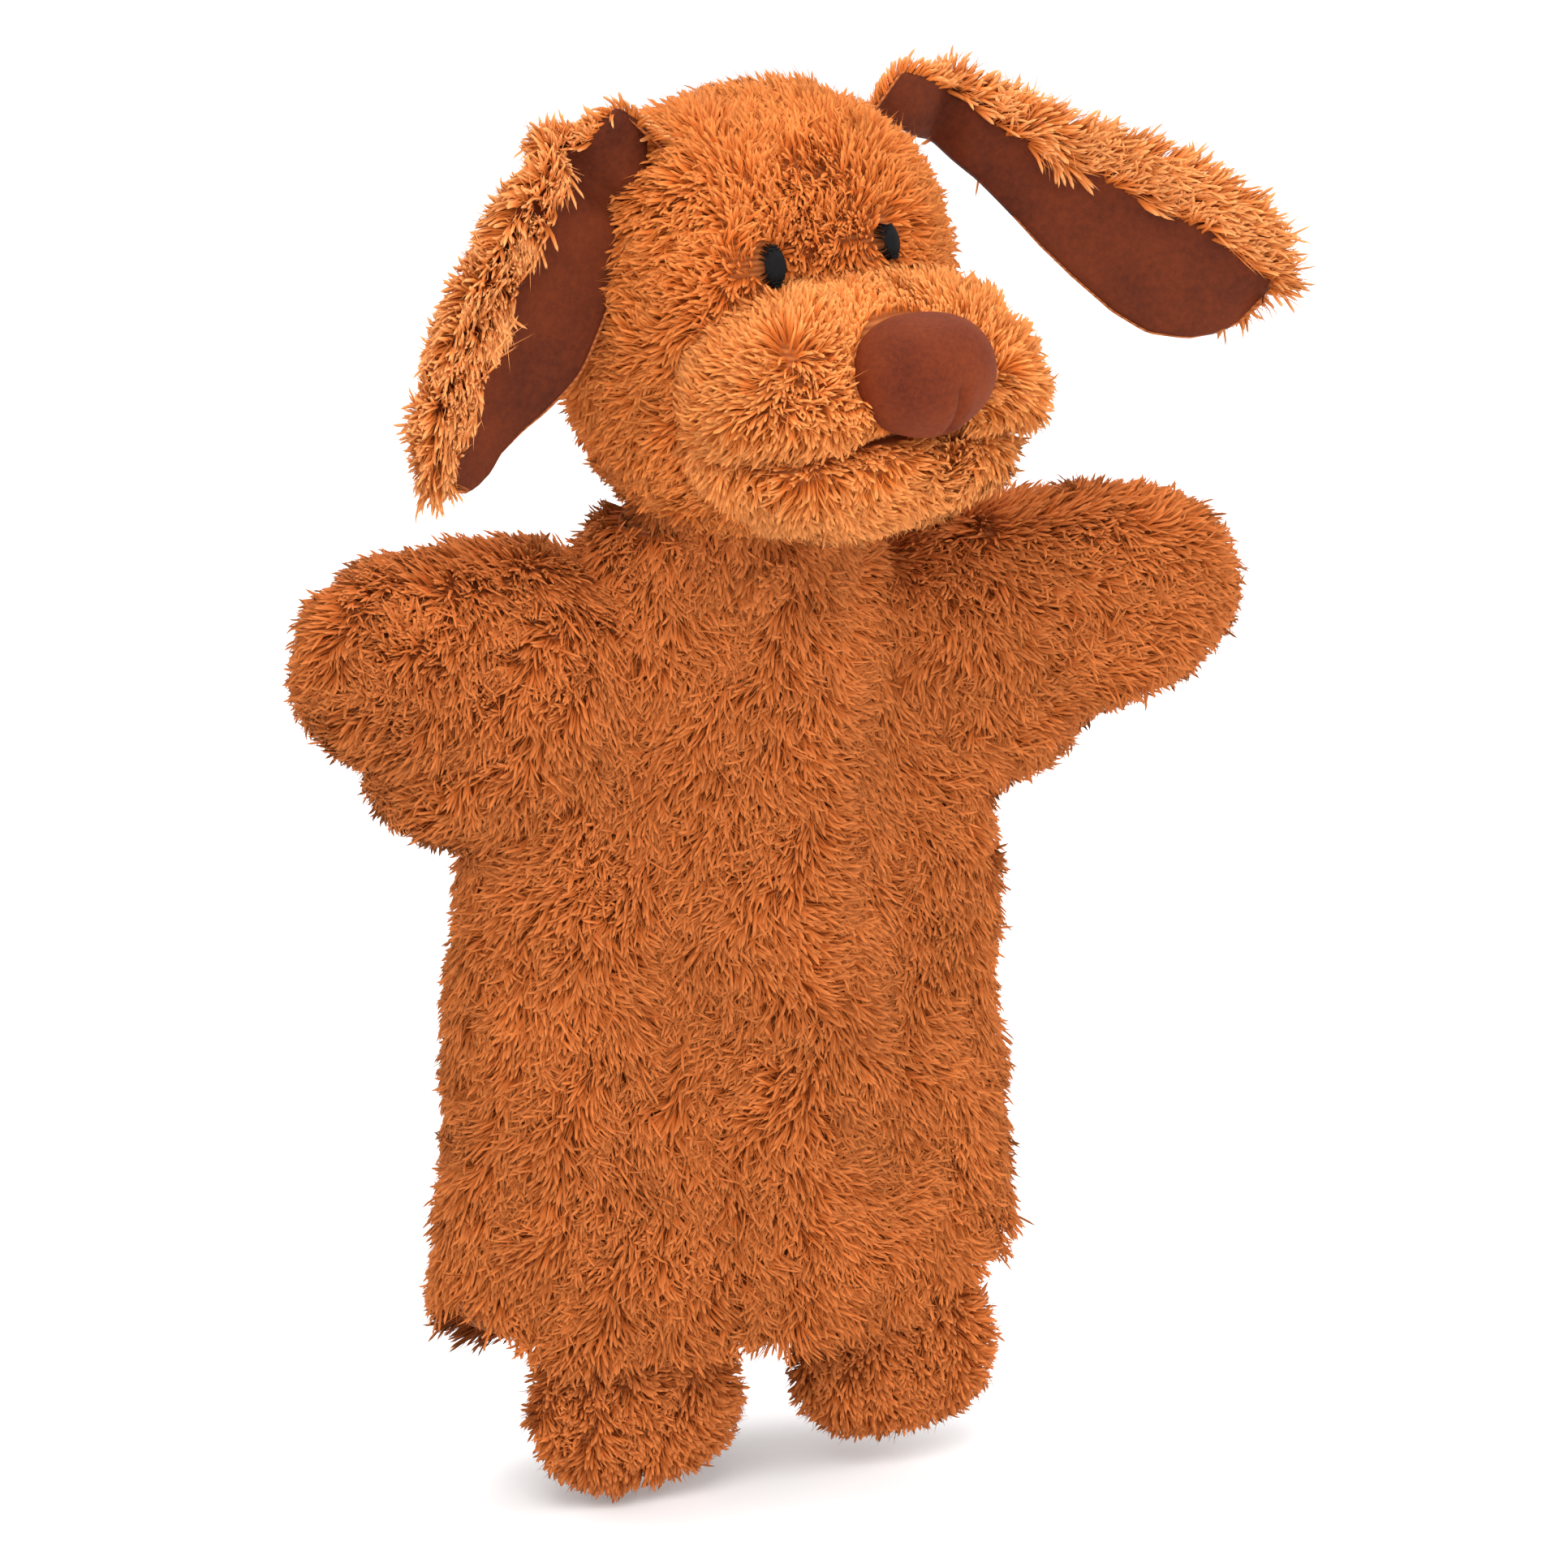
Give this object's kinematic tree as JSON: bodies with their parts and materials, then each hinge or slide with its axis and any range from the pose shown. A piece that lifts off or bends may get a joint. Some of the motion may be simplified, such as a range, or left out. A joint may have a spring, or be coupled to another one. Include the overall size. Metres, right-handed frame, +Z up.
{
  "type": "plush dog hand puppet",
  "caption": "Glove hand puppet of a plush dog: hollow fur body open at the hem, stuffed head with floppy velour-lined ears, sleeve arms and padded feet.",
  "frame": {"origin": "centre of the hand opening at the hem", "axes": "+Z up from the hem to the head, the dog faces -Y, its left side is +X"},
  "size_m": [0.232, 0.1057, 0.3073],
  "materials": {
    "body_fur": "long pile plush, combed",
    "head_fur": "long pile plush, tufted",
    "ear_fur": "long pile plush, tufted",
    "velour": "short nap velour",
    "facing_cloth": "knitted backing",
    "eye_thread": "satin stitch",
    "sewing_thread": "twisted thread",
    "filling": "loose fibre"
  },
  "bodies": {
    "glove": {"glove_front_panel": "body_fur", "glove_back_panel": "body_fur", "hem_facing": "facing_cloth"},
    "neck": {"neck_sleeve": "body_fur", "neck_thread": "sewing_thread"},
    "head": {"face_panel": "head_fur", "head_back_left": "head_fur", "head_back_right": "head_fur", "muzzle_cover": "head_fur", "chin_cover": "head_fur", "mouth_thread": "sewing_thread", "left_eye": "eye_thread", "right_eye": "eye_thread", "head_filling": "filling", "muzzle_filling": "filling", "finger_pocket": "facing_cloth", "nose_cap": "velour", "nose_filling": "filling"},
    "left_ear": {"left_ear_fur": "ear_fur", "left_ear_lining": "velour"},
    "right_ear": {"right_ear_fur": "ear_fur", "right_ear_lining": "velour"},
    "left_arm": {"left_arm_front": "body_fur", "left_arm_back": "body_fur"},
    "right_arm": {"right_arm_front": "body_fur", "right_arm_back": "body_fur"},
    "left_foot": {"left_foot_front": "body_fur", "left_foot_back": "body_fur", "left_foot_filling": "filling"},
    "right_foot": {"right_foot_front": "body_fur", "right_foot_back": "body_fur", "right_foot_filling": "filling"}
  },
  "joints": [
    {"name": "head_turn", "type": "hinge", "parent": "glove", "child": "neck", "pos_m": [0.002, -0.005, 0.176], "axis": [0, 0, 1], "range_deg": [-45, 30]},
    {"name": "head_nod", "type": "hinge", "parent": "neck", "child": "head", "pos_m": [0.002, -0.005, 0.176], "axis": [0.9659, 0.2588, 0], "range_deg": [-15, 15]},
    {"name": "left_arm_hug", "type": "hinge", "parent": "glove", "child": "left_arm", "pos_m": [0.046, 0, 0.147], "axis": [0, 0, -1], "range_deg": [-15, 40]},
    {"name": "right_arm_hug", "type": "hinge", "parent": "glove", "child": "right_arm", "pos_m": [-0.046, 0, 0.147], "axis": [0, 0, 1], "range_deg": [-15, 40]},
    {"name": "left_ear_flop", "type": "hinge", "parent": "head", "child": "left_ear", "pos_m": [0.0371, -0.00077, 0.263], "axis": [0.2588, -0.9659, 0], "range_deg": [-10, 50]},
    {"name": "right_ear_flop", "type": "hinge", "parent": "head", "child": "right_ear", "pos_m": [-0.03051, -0.01889, 0.267], "axis": [-0.2588, 0.9659, 0], "range_deg": [-2, 50]},
    {"name": "left_foot_swing", "type": "hinge", "parent": "glove", "child": "left_foot", "pos_m": [0.03, -0.013, 0.001], "axis": [-1, 0, 0], "range_deg": [-20, 20]},
    {"name": "right_foot_swing", "type": "hinge", "parent": "glove", "child": "right_foot", "pos_m": [-0.03, -0.013, 0.001], "axis": [-1, 0, 0], "range_deg": [-20, 20]}
  ]
}
